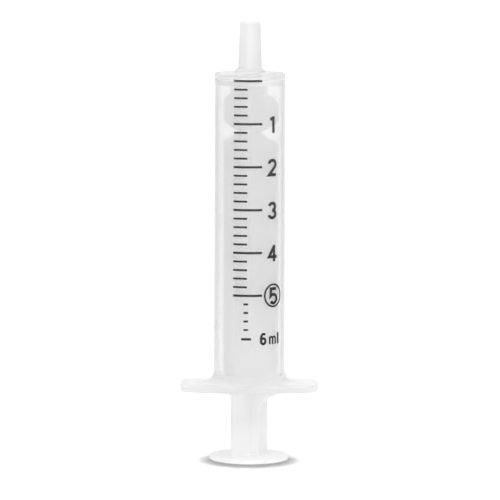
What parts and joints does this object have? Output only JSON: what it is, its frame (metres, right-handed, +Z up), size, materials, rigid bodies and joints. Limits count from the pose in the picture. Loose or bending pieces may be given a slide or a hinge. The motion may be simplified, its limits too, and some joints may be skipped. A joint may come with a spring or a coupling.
{
  "type": "luer slip syringe",
  "caption": "Clear disposable syringe with a central slip nozzle, a finger flange and a cross-ribbed plunger pushed home, standing on its thumb disc.",
  "frame": {"origin": "middle of the thumb disc's underside, on the axis of the barrel and plunger", "axes": "+Z up the axis, from the thumb disc to the nozzle; X along the finger flange; -Y is the side that carries the printed scale"},
  "size_m": [0.027, 0.0156, 0.0851],
  "materials": {
    "barrel_polypropylene": "natural translucent polypropylene, smooth gloss, with a black printed scale",
    "plunger_polyethylene": "milky translucent polyethylene, satin"
  },
  "bodies": {
    "barrel": {"barrel": "barrel_polypropylene"},
    "plunger": {"plunger": "plunger_polyethylene"}
  },
  "joints": [
    {"name": "plunger_slide", "type": "slide", "parent": "barrel", "child": "plunger", "axis": [0, 0, -1], "range_m": [0, 0.0562]}
  ]
}
